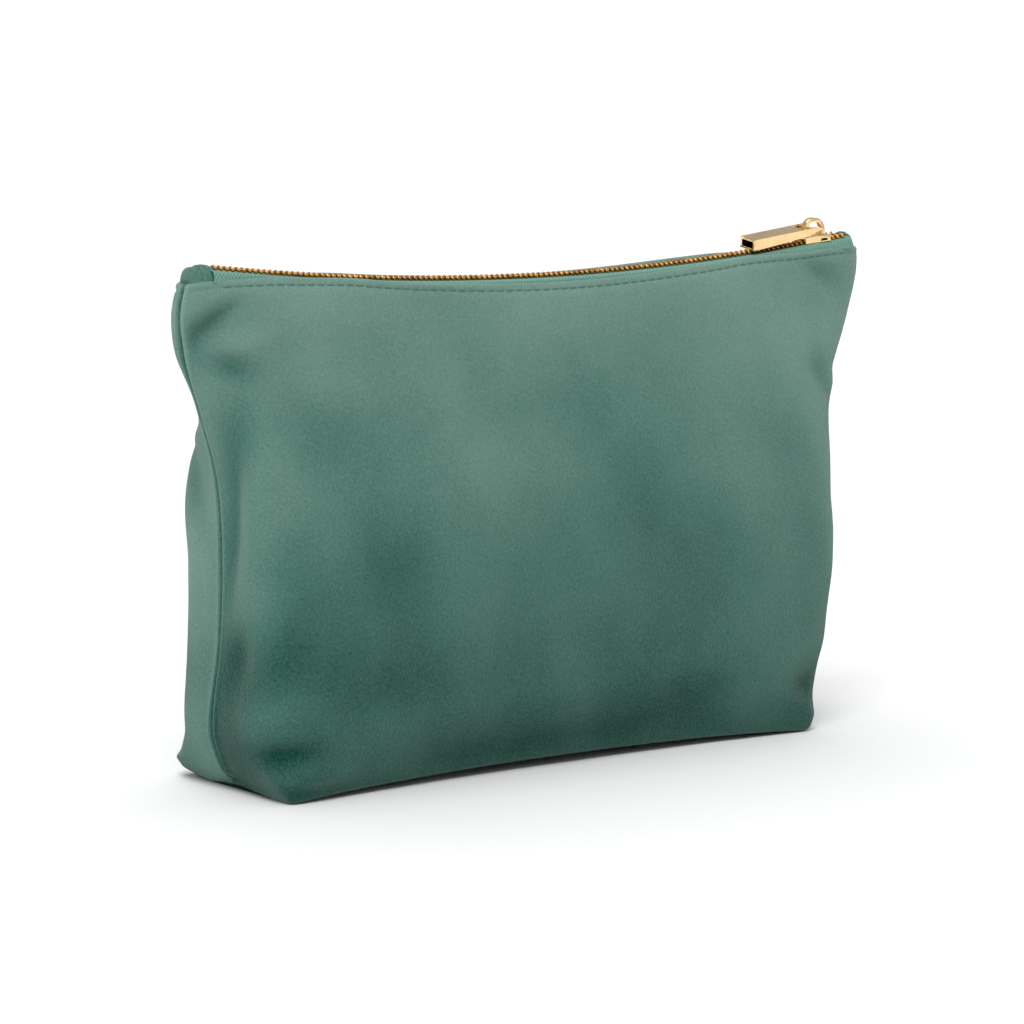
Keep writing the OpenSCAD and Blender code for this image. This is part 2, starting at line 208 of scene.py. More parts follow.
def rows():
    """Heights as shares of the wall, and how far the rounded lower edge is inside it there."""
    corner_h, top_h = 7, 5
    turn = np.linspace(0, math.pi / 2, 7)
    low = FLOOR_EDGE_R * (1 - np.cos(turn)) / WALL_H
    inset = FLOOR_EDGE_R * (1 - np.sin(turn))
    corner = np.linspace(FLOOR_EDGE_R, corner_h, 14)[1:] / WALL_H
    middle = np.linspace(corner_h / WALL_H, 1 - top_h / WALL_H, 108)[1:]
    top = np.linspace(1 - top_h / WALL_H, 1 - FOLD_R / WALL_H, 13)[1:]
    v = np.concatenate([low, corner, middle, top])
    return v, np.concatenate([inset, np.zeros(len(v) - len(inset))])


def outline(v, t, squareness):
    """x and y of the bag's plan at each height share v, at shares t of the arc from the middle
    of a wall (0) to the side seam (1), and the arc's length."""
    a, b, n = (curve(knots, v)[:, None] for knots in (WIDTH, DEPTH, squareness))
    across = np.concatenate([np.linspace(0, 1, 500), np.ones(499)])[None, :]
    around = np.concatenate([np.ones(500), np.linspace(1, 0, 500)[1:]])[None, :]
    k = (across**n + around**n) ** (-1 / n)
    x, y = a * across * k, b * around * k
    step = np.hypot(np.diff(x, axis=1), np.diff(y, axis=1))
    arc = np.concatenate([np.zeros((len(v), 1)), np.cumsum(step, axis=1)], axis=1)
    length = arc[:, -1]
    px = np.array([np.interp(t, arc[i] / length[i], x[i]) for i in range(len(v))])
    py = np.array([np.interp(t, arc[i] / length[i], y[i]) for i in range(len(v))])
    return px.T, py.T, length


def settle(points, share):
    """Lifts the middle of a lower edge and draws it in; share fades the effect out."""
    middle = np.maximum(0, 1 - (points[..., 0] / BASE_HALF_W) ** 2) ** 0.7
    inward = -np.sign(points[..., 1])
    moved = points.copy()
    moved[..., 1] += inward * EDGE_PULL * middle * share
    moved[..., 2] += EDGE_LIFT * middle * share
    return moved


def bare_wall(side, t, v):
    """Points of a wall before its folds and dents, by column and row, and the wall's length
    from its middle to each side seam, by end and row."""
    x, y = np.empty((2, len(t), len(v)))
    lengths = {}
    for end, sign in ENDS.items():
        part = t * sign >= 0
        away, y[part], lengths[end] = outline(v, np.abs(t[part]), SQUARENESS[side, end])
        x[part] = sign * away
    pinch = RIGHT_EAR_PINCH * smooth((v - RIGHT_EAR_START) / RIGHT_EAR_TURN)
    x *= np.where(x > 0, 1 - pinch[None, :], 1)
    lean = -MOUTH_LEAN * v**1.3
    z = v[None, :] * rim_z(x, side)
    points = np.stack([x, lean[None, :] + side * y, z], axis=-1)
    share = smooth(1 - z / EDGE_FADE)
    offset = points.copy()
    offset[..., 1] -= lean[None, :]
    moved = settle(offset, share)
    moved[..., 1] += lean[None, :]
    return moved, lengths


def grid_normals(points, side):
    """Outward unit normals of a grid of points, by column and row."""
    across = np.gradient(points, axis=0)
    up = np.gradient(points, axis=1)
    normal = np.cross(across, up) * -side
    return normal / np.maximum(np.linalg.norm(normal, axis=-1, keepdims=True), 1e-9)


# Dents and puffs: end, distance from that side seam, height, half length, half width,
# turn of the length from the level in degrees, and height of the puff (negative for a dent).
FRONT_FOLDS = [
    ("left", 9.5, 138.5, 8.5, 2.6, 36, -2.9), ("left", 4, 131, 6, 3, 60, -1.0),
    ("left", 21, 133, 9, 3.6, 20, 1.0), ("left", 20, 148, 9, 3, 20, 0.8),
    ("left", 14, 126, 6.5, 3.2, -18, -1.5), ("left", 11, 101, 14, 3.5, 80, -1.3),
    ("left", 7, 78, 16, 3, 85, -1.2), ("left", 20, 88, 18, 6, 75, 0.9),
    ("left", 12, 42, 9, 5, 75, -1.1), ("left", 17, 55, 14, 6, 80, 0.8),
    ("left", 31, 15, 8, 2.6, 6, -1.5), ("left", 36, 7.5, 10, 3.2, 2, 1.2),
    ("left", 30, 27, 14, 5, 15, 0.9), ("left", 60, 30, 16, 8, 10, -0.8),
    ("left", 120, 10, 40, 4.5, 0, -0.7), ("left", 58, 69, 14, 12, 60, -0.7),
    ("left", 92, 62, 30, 14, 65, 0.6), ("left", 40, 118, 26, 8, -25, 0.6),
    ("left", 70, 128, 26, 9, -12, -0.5), ("right", 98, 80, 22, 14, 70, -0.8),
    ("right", 65, 60, 26, 12, 75, 0.6), ("right", 22, 143, 8, 3.5, 25, -1.3),
    ("right", 20, 111, 10, 5, 60, -1.3), ("right", 30, 96, 14, 7, 70, 0.8),
    ("right", 34, 14, 7, 4, 30, -1.4), ("right", 44, 26, 14, 6, -20, 0.7),
    ("right", 40, 128, 22, 8, 20, 0.6), ("right", 80, 20, 20, 6, -8, -0.7)]
BACK_FOLDS = [
    ("left", 12, 143, 8, 3.5, -50, -1.6), ("left", 18, 118, 12, 5, -25, -1.5),
    ("left", 14, 96, 14, 5, 75, -1.4), ("left", 12, 60, 18, 5, 85, 1.2),
    ("left", 34, 18, 12, 4, 8, -1.2), ("left", 70, 60, 26, 12, 70, -0.8),
    ("right", 12, 144, 8, 3.5, 50, -1.6), ("right", 17, 116, 12, 5, 25, -1.5),
    ("right", 14, 92, 14, 5, -75, -1.3), ("right", 36, 20, 12, 4, -8, -1.3),
    ("right", 60, 80, 26, 12, -65, -0.8), ("right", 110, 110, 30, 10, 5, -0.6),
    ("left", 100, 20, 30, 6, 0, -0.6), ("left", 55, 120, 22, 8, -20, 0.7)]
# Share by which every fold is deepened.
FOLD_DEPTH = 1.35
# Long soft waves over the whole wall: how many, their shortest and longest length, and slope.
WAVES = 14
WAVE_LENGTHS = (26, 75)
WAVE_SLOPE = 0.0032


def folds(side, u, z, lengths):
    """Height of the folds of a wall, at distance u from its middle and height z."""
    relief = np.zeros_like(u)
    for end, away, height, reach, width, turn, depth in (FRONT_FOLDS if side < 0 else BACK_FOLDS):
        along = ENDS[end] * u - (lengths[end][None, :] - away)
        up = z - height
        angle = math.radians(turn)
        major = up * math.sin(angle) - along * math.cos(angle)
        minor = along * math.sin(angle) + up * math.cos(angle)
        spread = ((major / reach) ** 2 + (minor / width) ** 2) / 1.4
        relief += FOLD_DEPTH * depth * np.exp(-spread)
    rng = np.random.default_rng(11 if side < 0 else 23)
    for _ in range(WAVES):
        size = rng.uniform(*WAVE_LENGTHS)
        heading = rng.uniform(0, math.pi)
        phase = rng.uniform(0, 2 * math.pi)
        turn = (u * math.cos(heading) + z * math.sin(heading)) * 2 * math.pi / size + phase
        relief += WAVE_SLOPE * size * np.sin(turn)
    return relief * smooth(z / 8) * smooth((WALL_H - z) / 14 + 0.35)


def seam_relief(away):
    """The groove where two walls are sewn, and the soft ridge beside it."""
    groove = -0.95 * np.exp(-((away / 0.45) ** 2))
    ridge = 0.35 * np.exp(-(((away - 1.2) / 0.8) ** 2))
    return groove + ridge


def corner_relief(side, away, z):
    """The seam that boxes a corner, which starts at the foot of the side seam and runs down to
    the floor: its groove and ridge, and the share of each point that lies below it."""
    reach = 19.0 if side < 0 else 12.0
    top = 3.9 if side < 0 else 2.2
    line = top * (1 - smooth(away / reach)) - 1.2 * smooth((away - reach) / 4)
    groove = -0.75 * np.exp(-(((z - line) / 0.65) ** 2))
    ridge = 0.4 * np.exp(-(((z - line - 1.5) / 0.9) ** 2)) * (side < 0)
    below = smooth((line - z) / 0.8 + 0.5)
    share = smooth((reach + 4 - away) / 6)
    return (groove + ridge - 0.7 * below) * share, below * share


def end_lift(side, away, z, t):
    """How far a wall's lower edge is lifted off the floor at the foot of a side seam and at the
    back's left corner."""
    foot = 1.1 * np.exp(-((away / 9) ** 2))
    corner = 1.6 * np.exp(-(((away - 29) / 9) ** 2)) * (t < 0)[:, None] * (side > 0)
    return (foot + corner) * smooth(1 - z / 9)


def hem_relief(below):
    """The groove that the topstitching pulls into the hem and the puff under it, by distance
    below the fold."""
    groove = -0.32 * np.exp(-(((below - STITCH_BELOW) / 0.55) ** 2))
    puff = 0.12 * np.exp(-(((below - 2 * STITCH_BELOW) / 1.2) ** 2))
    return groove + puff


class Wall:
    """The finished outer surface of a wall, with what the layers behind it need."""

    def __init__(self, side):
        self.side = side
        self.t = columns()
        self.v, inset = rows()
        self.bare, lengths = bare_wall(side, self.t, self.v)
        self.bare_normal = grid_normals(self.bare, side)
        length = np.where(self.t[:, None] < 0, lengths["left"][None, :], lengths["right"][None, :])
        self.u = self.t[:, None] * length
        self.away = (1 - np.abs(self.t))[:, None] * length
        z = self.bare[..., 2]
        self.relief = folds(side, self.u, z, lengths) * smooth(self.away / 6 + 0.15)
        below = rim_z(self.bare[..., 0], side) - z
        trim = seam_relief(self.away) + hem_relief(below) * smooth(self.away / 4)
        corner, self.below_corner = corner_relief(side, self.away, z)
        height = self.relief + trim + corner - inset[None, :]
        self.points = self.bare + self.bare_normal * height[..., None]
        self.points[..., 2] = self.bare[..., 2] + end_lift(side, self.away, z, self.t)
        self.normal = grid_normals(self.points, side)
        self.middle = len(self.t) // 2

    def layer(self, inset):
        """A surface that follows the wall at a depth below it, without its seams."""
        return self.bare + self.bare_normal * (self.relief - inset)[..., None]


# ---------- meshes ----------


def add_object(name, data):
    """An object in the scene with the given mesh, camera or lamp."""
    made = bpy.data.objects.new(name, data)
    bpy.context.scene.collection.objects.link(made)
    return made


def new_object(name, points, faces, uv=None, normals=None):
    """A mesh from points in millimetres, with uv in millimetres per point of each face."""
    mesh = bpy.data.meshes.new(name)
    mesh.from_pydata((np.asarray(points) * MM).tolist(), [], faces)
    mesh.polygons.foreach_set("use_smooth", [True] * len(mesh.polygons))
    if uv is not None:
        layer = mesh.uv_layers.new(name="UVMap")
        loops = np.zeros(len(mesh.loops), np.int64)
        mesh.loops.foreach_get("vertex_index", loops)
        layer.data.foreach_set("uv", (np.asarray(uv)[loops]).astype(np.float32).ravel())
    mesh.update()
    if normals is not None:
        mesh.normals_split_custom_set_from_vertices(np.asarray(normals).tolist())
    return add_object(name, mesh)


def loop_normals(loops):
    """Vertex normals of closed loops set side by side, by column and place round the loop."""
    around = np.roll(loops, -1, axis=1) - np.roll(loops, 1, axis=1)
    along = np.gradient(loops, axis=0)
    normal = np.cross(along, around)
    return normal / np.maximum(np.linalg.norm(normal, axis=-1, keepdims=True), 1e-9)


def skin(name, loops, uv, normals=None, flip=False):
    """Closed mesh of flat closed loops side by side. Each loop runs along one face and back
    along the other, so each end is closed by a strip of quads."""
    count, size = loops.shape[:2]
    faces = []
    for i in range(count - 1):
        for j in range(size):
            k = (j + 1) % size
            faces.append((i * size + j, (i + 1) * size + j, (i + 1) * size + k, i * size + k))
    for first, turned in ((0, False), ((count - 1) * size, True)):
        for j in range(size // 2 - 1):
            cap = (first + j, first + j + 1, first + size - 2 - j, first + size - 1 - j)
            faces.append(cap[::-1] if turned else cap)
    if flip:
        faces = [face[::-1] for face in faces]
    flat_normals = None if normals is None else normals.reshape(-1, 3)
    return new_object(name, loops.reshape(-1, 3), faces, uv.reshape(-1, 2), flat_normals)


def wall_halves(node, side, loops, u, look):
    """The two halves of a piece that lies along a wall, split at the wall's middle. u is each
    loop's distance along the wall."""
    uv = loops_uv(loops, u)
    normals = loop_normals(loops) * side
    middle = int(np.argmin(np.abs(loops[:, :, 0].mean(axis=1))))
    pieces = []
    for end, part in (("left", slice(0, middle + 1)), ("right", slice(middle, None))):
        piece = skin(f"{node}_{end}", loops[part], uv[part], normals[part], flip=side < 0)
        finish_half(piece, node, look)
        pieces.append(piece)
    return pieces


def finish_half(piece, node, look):
    """Material of one half of a wall's piece, with its transform baked in and its CAD node hidden.
    """
    piece.data.materials.append(look)
    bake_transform(piece)
    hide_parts(node)


def finish_still(piece, body, node, look):
    """Material and frame links of a piece that rides on one body."""
    piece.data.materials.append(look)
    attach(piece, body)
    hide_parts(node)


# ---------- materials ----------


def material(name):
    """A material with its node tree, its Principled shader and a helper that adds nodes."""
    made = bpy.data.materials.new(name)
    made.use_nodes = True
    tree = made.node_tree
    shader = tree.nodes["Principled BSDF"]

    def node(kind, **values):
        new = tree.nodes.new(kind)
        for key, value in values.items():
            if key in new.inputs.keys():
                new.inputs[key].default_value = value
            else:
                setattr(new, key, value)
        return new

    return made, tree, shader, node


def link(tree, source, out, target, into):
    """Joins an output of one node to an input of another."""
    tree.links.new(source.outputs[out], target.inputs[into])


def colour_from(parts, source, out, stops):
    """A shader's colour from a pattern, through a ramp of (place, colour) stops."""
    tree, shader, node = parts
    ramp = node("ShaderNodeValToRGB")
    elements = ramp.color_ramp.elements
    while len(elements) < len(stops):
        elements.new(0.5)
    for element, (place, colour) in zip(elements, stops):
        element.position = place
        element.color = (*colour, 1)
    link(tree, source, out, ramp, "Fac")
    link(tree, ramp, "Color", shader, "Base Color")


def bump_from(parts, source, out, strength, depth):
    """A shader's bump from a pattern."""
    tree, shader, node = parts
    bump = node("ShaderNodeBump", Strength=strength, Distance=depth)
    link(tree, source, out, bump, "Height")
    link(tree, bump, "Normal", shader, "Normal")


def srgb(red, green, blue):
    """Linear colour from the usual 0 to 255 values."""
    values = np.array([red, green, blue]) / 255
    return tuple(np.where(values <= 0.04045, values / 12.92, ((values + 0.055) / 1.055) ** 2.4))


# The velvet's wide blotches, small blotches, slanted streaks and fine grain: waves per
# millimetre, turn in degrees, detail, roughness and strength.
PILE_LAYERS = (
    ((0.022, 0.026, 1), 0, 2.0, 0.5, 0.14), ((0.11, 0.075, 1), 12, 3.0, 0.6, 0.12),
    ((1.0, 0.5, 1), 28, 3.0, 0.65, 0.2), ((1.5, 1.1, 1), 20, 3.0, 0.8, 0.56))


def velvet(name, deep, mid, light):
    """Short-pile velvet: its pattern is darkened or lightened by the painted light and shade
    stored at each point, and its pile catches the light at its edges."""
    made, tree, shader, node = material(name)
    uv = node("ShaderNodeUVMap", uv_map="UVMap")
    total = node("ShaderNodeAttribute", attribute_name="painted_shading")
    output = "Fac"
    for scale, turn, detail, rough, share in PILE_LAYERS:
        place = node("ShaderNodeMapping", Rotation=(0, 0, math.radians(turn)), Scale=scale)
        noise = node("ShaderNodeTexNoise", Scale=1.0, Detail=detail, Roughness=rough)
        link(tree, uv, "UV", place, "Vector")
        link(tree, place, "Vector", noise, "Vector")
        add = node("ShaderNodeMath", operation="MULTIPLY_ADD")
        add.inputs[1].default_value = share
        link(tree, noise, "Fac", add, 0)
        link(tree, total, output, add, 2)
        total, output = add, 0
    parts = tree, shader, node
    # The ramp runs from a shaded to a lit tone of the velvet, picked by painted light and shade
    # mixed with the pile's own blotches.
    colour_from(parts, total, output, [(0.16, deep), (0.52, mid), (0.94, light)])
    bump_from(parts, noise, "Fac", 0.6, 0.001)
    shader.inputs["Roughness"].default_value = 0.92
    shader.inputs["Specular IOR Level"].default_value = 0.1
    shader.inputs["Sheen Weight"].default_value = 0.42
    shader.inputs["Sheen Roughness"].default_value = 0.4
    shader.inputs["Sheen Tint"].default_value = (*srgb(204, 220, 211), 1)
    return made


def woven(name, dark, light, pitch, rough=0.75, sheen=0.15, slant=True):
    """Narrow weave: herringbone or plain threads at a pitch in millimetres."""
    made, tree, shader, node = material(name)
    uv = node("ShaderNodeUVMap", uv_map="UVMap")
    split = node("ShaderNodeSeparateXYZ")
    link(tree, uv, "UV", split, "Vector")
    fold = node("ShaderNodeMath", operation="PINGPONG")
    fold.inputs[1].default_value = 1.1
    link(tree, split, "Y", fold, 0)
    lean = node("ShaderNodeMath", operation="MULTIPLY_ADD")
    lean.inputs[1].default_value = 1.0 if slant else 0.0
    link(tree, fold, 0, lean, 0)
    link(tree, split, "X", lean, 2)
    turns = node("ShaderNodeMath", operation="MULTIPLY")
    turns.inputs[1].default_value = 2 * math.pi / pitch
    link(tree, lean, 0, turns, 0)
    rib = node("ShaderNodeMath", operation="SINE")
    link(tree, turns, 0, rib, 0)
    fuzz = node("ShaderNodeTexNoise", Scale=2.5, Detail=3.0)
    link(tree, uv, "UV", fuzz, "Vector")
    height = node("ShaderNodeMath", operation="MULTIPLY_ADD")
    height.inputs[1].default_value = 0.32
    link(tree, rib, 0, height, 0)
    link(tree, fuzz, "Fac", height, 2)
    parts = tree, shader, node
    colour_from(parts, height, 0, [(0.2, dark), (0.85, light)])
    bump_from(parts, height, 0, 0.5, 0.0003)
    shader.inputs["Roughness"].default_value = rough
    shader.inputs["Specular IOR Level"].default_value = 0.25
    shader.inputs["Sheen Weight"].default_value = sheen
    return made


def plated(name, dark, light, rough, metallic=1.0, dents=0.04):
    """Plated metal with slight unevenness of colour, polish and surface."""
    made, tree, shader, node = material(name)
    place = node("ShaderNodeTexCoord")
    soft = node("ShaderNodeTexNoise", Scale=260.0, Detail=3.0)
    link(tree, place, "Object", soft, "Vector")
    parts = tree, shader, node
    colour_from(parts, soft, "Fac", [(0.3, dark), (0.7, light)])
    polish = node("ShaderNodeMapRange")
    polish.inputs["To Min"].default_value = rough * 0.75
    polish.inputs["To Max"].default_value = rough * 1.35
    link(tree, soft, "Fac", polish, "Value")
    link(tree, polish, "Result", shader, "Roughness")
    bump_from(parts, soft, "Fac", dents, 0.0001)
    shader.inputs["Metallic"].default_value = metallic
    return made


# Shaded, mid and lit tones of the velvet, picked by painted light and shade and the pile's
# blotches.
VELVET = velvet("velvet", srgb(8, 62, 53), srgb(74, 115, 104), srgb(122, 153, 142))
INTERLINING = woven("interlining", srgb(200, 200, 190), srgb(235, 235, 226), 1.6, slant=False)
LINING = woven("lining", srgb(80, 120, 106), srgb(118, 158, 142), 0.5, rough=0.45, slant=False)
TAPE = woven("zip_tape", srgb(82, 130, 115), srgb(122, 164, 147), 1.15)
# The cord is a real part; its dark colour is painted shade seen in the gaps between the coil's
# loops.
CORD = woven("coil_cord", srgb(40, 44, 26), srgb(84, 84, 54), 0.8)
THREAD = woven("thread", srgb(50, 94, 82), srgb(100, 142, 128), 0.35)
COIL = plated("zip_coil", srgb(160, 104, 44), srgb(240, 186, 106), 0.22, metallic=0.9)
GOLD = plated("gold_metal", srgb(240, 206, 150), srgb(250, 220, 168), 0.11, dents=0.01)

# ---------- walls ----------

FOLD_STEPS = 8
HEM_H = 11


def velvet_loops(wall):
    """Outer face, rolled hem and inner face of a wall's velvet, by column."""
    outer = wall.points
    normal = wall.normal
    top, out = outer[:, -1], normal[:, -1].copy()
    out[:, 2] = 0
    out /= np.linalg.norm(out, axis=1, keepdims=True)
    roll = []
    for k in range(1, FOLD_STEPS):
        turn = math.pi * k / FOLD_STEPS
        lift = np.array([0, 0, FOLD_R * math.sin(turn)])
        roll.append(top - out * FOLD_R * (1 - math.cos(turn)) + lift)
    roll = np.stack(roll, axis=1)
    height = rim_z(outer[..., 0], wall.side) - outer[..., 2]
    double = smooth((HEM_H - height) / 1.5)
    depth = VELVET_T + (2 * FOLD_R - VELVET_T) * double
    away = (1 - np.abs(wall.t))[:, None] * SEAM_REACH
    near = smooth(away / 4)[..., None]
    back = normal * (1 - near) + wall.normal * near
    inner = outer - back * depth[..., None]
    loops = np.concatenate([outer, roll, inner[:, ::-1]], axis=1)
    # The closing strips of quads need an even number of points in a loop.
    if loops.shape[1] % 2:
        loops = np.delete(loops, outer.shape[1] + FOLD_STEPS // 2, axis=1)
    return loops


def loops_uv(loops, u):
    """Texture place of each point in millimetres: along the wall and round the loop."""
    step = np.linalg.norm(np.diff(loops, axis=1), axis=-1)
    around = np.concatenate([np.zeros((len(loops), 1)), np.cumsum(step, axis=1)], axis=1)
    along = np.broadcast_to(u[:, None], around.shape)
    return np.stack([along, around], axis=-1)


# Painted light and shade by height: painted shade near the floor, painted light towards the hems.
PAINTED_LIGHT_BY_HEIGHT = [
    (0, -0.22), (20, -0.17), (45, -0.05), (80, 0.03), (110, 0.1), (130, 0.24), (155, 0.35)]
# Places painted darker or lighter: painted shade in creases and dents, and blotches where the pile
# lies differently: x, z, half width, half height and strength.
SHADE_AND_PILE_SPOTS = {
    -1: [(-65, 69, 17, 16, -0.07), (25, 73, 20, 26, -0.06), (-56, 30, 30, 14, -0.06),
         (-30, 100, 28, 20, 0.03), (70, 110, 30, 26, 0.03), (10, 12, 50, 9, -0.06),
         (-112, 126, 8, 5, -0.08), (75, 40, 22, 20, 0.03), (-92, 8, 14, 9, -0.1),
         (-99, 44, 7, 9, -0.1)],
    1: [(-50, 80, 24, 22, -0.06), (30, 60, 26, 24, -0.06), (60, 120, 30, 20, 0.04),
        (-124, 146, 6, 6, -0.24), (-121, 131, 9, 12, -0.24)],
}


def painted_shading_values(wall, loops):
    """Painted light and shade at each point of a wall's loops, with some blotches of the pile."""
    x, z = loops[..., 0], loops[..., 2]
    painted_shading = np.interp(z, *zip(*PAINTED_LIGHT_BY_HEIGHT))
    for place, height, reach, rise, depth in SHADE_AND_PILE_SPOTS[wall.side]:
        painted_shading += depth * np.exp(-(((x - place) / reach) ** 2) - ((z - height) / rise) ** 2)
    away = (1 - np.abs(wall.t))[:, None] * SEAM_REACH
    front, back = wall.side < 0, wall.side > 0
    # Painted light on the back beside its seams, most of all low down.
    painted_shading += (0.14 + 0.12 * smooth((40 - z) / 40)) * smooth((24 - away) / 20) * back
    # Painted shade in the side seams, with a painted highlight on the ridge beside them on the
    # front.
    painted_shading -= 0.3 * np.exp(-((away / 0.6) ** 2))
    painted_shading += 0.2 * np.exp(-(((away - 1.2) / 0.5) ** 2)) * front
    # The foot of the front's left seam is in shade.
    foot = smooth((24 - away) / 16) * smooth((80 - z) / 40) * (wall.t < 0)[:, None]
    painted_shading -= 0.14 * foot * front
    # Puffs catch the light, and dents and the turned-under corners don't.
    outer = wall.below_corner.shape[1]
    painted_shading[:, :outer] += np.clip(0.08 * wall.relief, -0.2, 0.1) - 0.16 * wall.below_corner
    return painted_shading


def add_painted_shading(piece, values):
    """Stores the painted light and shade at each vertex."""
    made = piece.data.attributes.new("painted_shading", "FLOAT", "POINT")
    made.data.foreach_set("value", values.astype(np.float32).ravel())


def sheet_loops(outer, inner):
    """Loops of a thin closed sheet between an outer and an inner grid of points."""
    return np.concatenate([outer, inner[:, ::-1]], axis=1)


# The layers behind the velvet: name, depths of their two faces, top as a share of the wall, look.
INNER_LAYERS = (
    ("interlining", 1.1, 2.1, 0.92, INTERLINING), ("lining", 3.3, 3.7, 0.975, LINING))
LAYERS_START = 0.035


def build_walls():
    """The velvet, interlining and lining of both walls."""
    for name, side in SIDES.items():
        wall = WALLS[name]
        u = wall.t * SEAM_REACH
        loops = velvet_loops(wall)
        painted_shading = painted_shading_values(wall, loops)
        halves = wall_halves(f"{name}_panel", side, loops, u, VELVET)
        for piece, values in zip(halves, (painted_shading[:wall.middle + 1], painted_shading[wall.middle:])):
            add_painted_shading(piece, values)
        for layer, low, high, top, look in INNER_LAYERS:
            keep = np.nonzero((wall.v > LAYERS_START) & (wall.v < top))[0][::2]
            columns_kept = np.r_[4:len(wall.t) - 4:2]
            if wall.middle not in columns_kept:
                columns_kept = np.sort(np.append(columns_kept, wall.middle))
            outer = wall.layer(low)[columns_kept][:, keep]
            inner = wall.layer(high)[columns_kept][:, keep]
            loops = sheet_loops(outer, inner)
            pieces = wall_halves(f"{name}_{layer}", side, loops, u[columns_kept], look)


# ---------- zip ----------

# A tape's thickness, height and inner edge, how deep it is tucked behind the hem, and how far
# its ends run into the tabs.
TAPE_T = 0.5
TAPE_Z = -0.6
TAPE_INNER = 0.35
TAPE_TUCK = 9
TAPE_IN_TAB = 0.6
# How much shallower the tuck is towards the zip's ends, and where that starts.
TAPE_END_TUCK = 8.2
TAPE_END_START = 86
TAPE_TURN_R = 1.2
# Distance from the zip's middle to a tape's turned-down part, by distance along the zip.
TAPE_WIDTH = ((0, 5.75), (60, 5.6), (80, 5.3), (90, 5.05), (100, 4.75), (106, 4.6), (112, 4.5),
              (117, 4.4))


def tape_path(x, side):
    """Middle line of a tape's section at x: distance from the zip's middle, and height."""
    wall_edge = np.interp(np.abs(x), *zip(*TAPE_WIDTH))
    inner = TAPE_INNER + parted(x)
    hem = rim_z(x, side) - zip_z(x)
    tuck = TAPE_TUCK - TAPE_END_TUCK * smooth((np.abs(x) - TAPE_END_START) / 14)
    path = []
    level = TAPE_Z - TAPE_T / 2
    turn_start = wall_edge - TAPE_TURN_R
    for share in np.linspace(0, 1, 5):
        path.append((inner + (turn_start - inner) * share, level))
    for turn in np.linspace(0, math.pi / 2, 5)[1:]:
        path.append((turn_start + TAPE_TURN_R * math.sin(turn),
                     level - TAPE_TURN_R * (1 - math.cos(turn))))
    flare = 0.1 if side < 0 else 0.38
    start = level - TAPE_TURN_R
    for share in np.linspace(0, 1, 7)[1:]:
        depth = (hem - tuck - start) * share
        path.append((wall_edge - flare * np.minimum(0, depth + 2), start + depth))
    return np.array([[p[0] + 0 * x, p[1] + 0 * x] for p in path]).transpose(2, 0, 1)


def build_tapes():
    """Both zip tapes: level beside the coil, then turned down behind the hem."""
    x = np.linspace(-CHAIN_HALF - TAPE_IN_TAB, CHAIN_HALF + TAPE_IN_TAB, 237)
    for name, side in SIDES.items():
        path = tape_path(x, side)
        along = np.gradient(path, axis=1)
        square = np.stack([along[..., 1], -along[..., 0]], axis=-1)
        square /= np.linalg.norm(square, axis=-1, keepdims=True)
        faces = []
        for offset in (-TAPE_T / 2, TAPE_T / 2):
            place = path + square * offset
            faces.append(np.stack([
                np.broadcast_to(x[:, None], place.shape[:2]),
                ZIP_Y + side * place[..., 0],
                zip_z(x)[:, None] + place[..., 1]], axis=-1))
        loops = sheet_loops(faces[0], faces[1])
        halves = wall_halves(f"{name}_zip_tape", side, loops, x, TAPE)


COIL_PITCH = 1.9
COIL_WIRE_R = 0.43
COIL_TURN_STEPS = 16
THIN_SIDES = 8
# Half width of the flattened coil, and the cord's radius, end gap and distance from the middle.
COIL_HALF_W = 1.0
CORD_R = 0.2
CORD_END = 0.8
CORD_OUT = 1.25


def on_arc(x, y, up):
    """A point of the zip: x along its arc, y across it and up square to it."""
    angle = np.arcsin(x / ARC_R)
    reach = ARC_R - up
    return np.stack([reach * np.sin(angle), y + 0 * x, ARC_Z - reach * np.cos(angle)], axis=-1)


def tube(path, radius, sides):
    """Loops of a round tube along a path of points."""
    along = np.gradient(path, axis=0)
    along /= np.linalg.norm(along, axis=1, keepdims=True)
    up = np.array([0.02, 0.01, 1.0])
    across = np.cross(along, up)
    across /= np.maximum(np.linalg.norm(across, axis=1, keepdims=True), 1e-6)
    square = np.cross(across, along)
    turn = np.linspace(0, 2 * math.pi, sides, endpoint=False)
    return (path[:, None, :] + radius * np.cos(turn)[None, :, None] * across[:, None, :]
            + radius * np.sin(turn)[None, :, None] * square[:, None, :])


def coil_path(side, first, last):
    """Middle line of the flattened coil on one tape, from one loop number to another."""
    turns = np.linspace(first, last, int(round((last - first) * COIL_TURN_STEPS)) + 1)
    shift = 0 if side < 0 else 0.5
    phase = 2 * math.pi * turns
    reach = np.cos(phase)
    flat = np.sign(reach) * np.abs(reach) ** 0.8
    lean = 0.5 * flat * -side
    x = (turns + shift) * COIL_PITCH + lean
    across = COIL_HALF_W * (1 - flat) + parted(x)
    up = 0.04 + 0.44 * np.sin(phase) + 0.06 * flat
    return on_arc(x, ZIP_Y + side * across, up)


TUBE_UV_STEP = 0.4


def tube_uv(loops):
    """Texture place of each point of a tube, evenly spaced along and round it."""
    count, sides = loops.shape[:2]
    along, around = np.meshgrid(np.arange(count), np.arange(sides), indexing="ij")
    return np.stack([along, around], axis=-1) * TUBE_UV_STEP


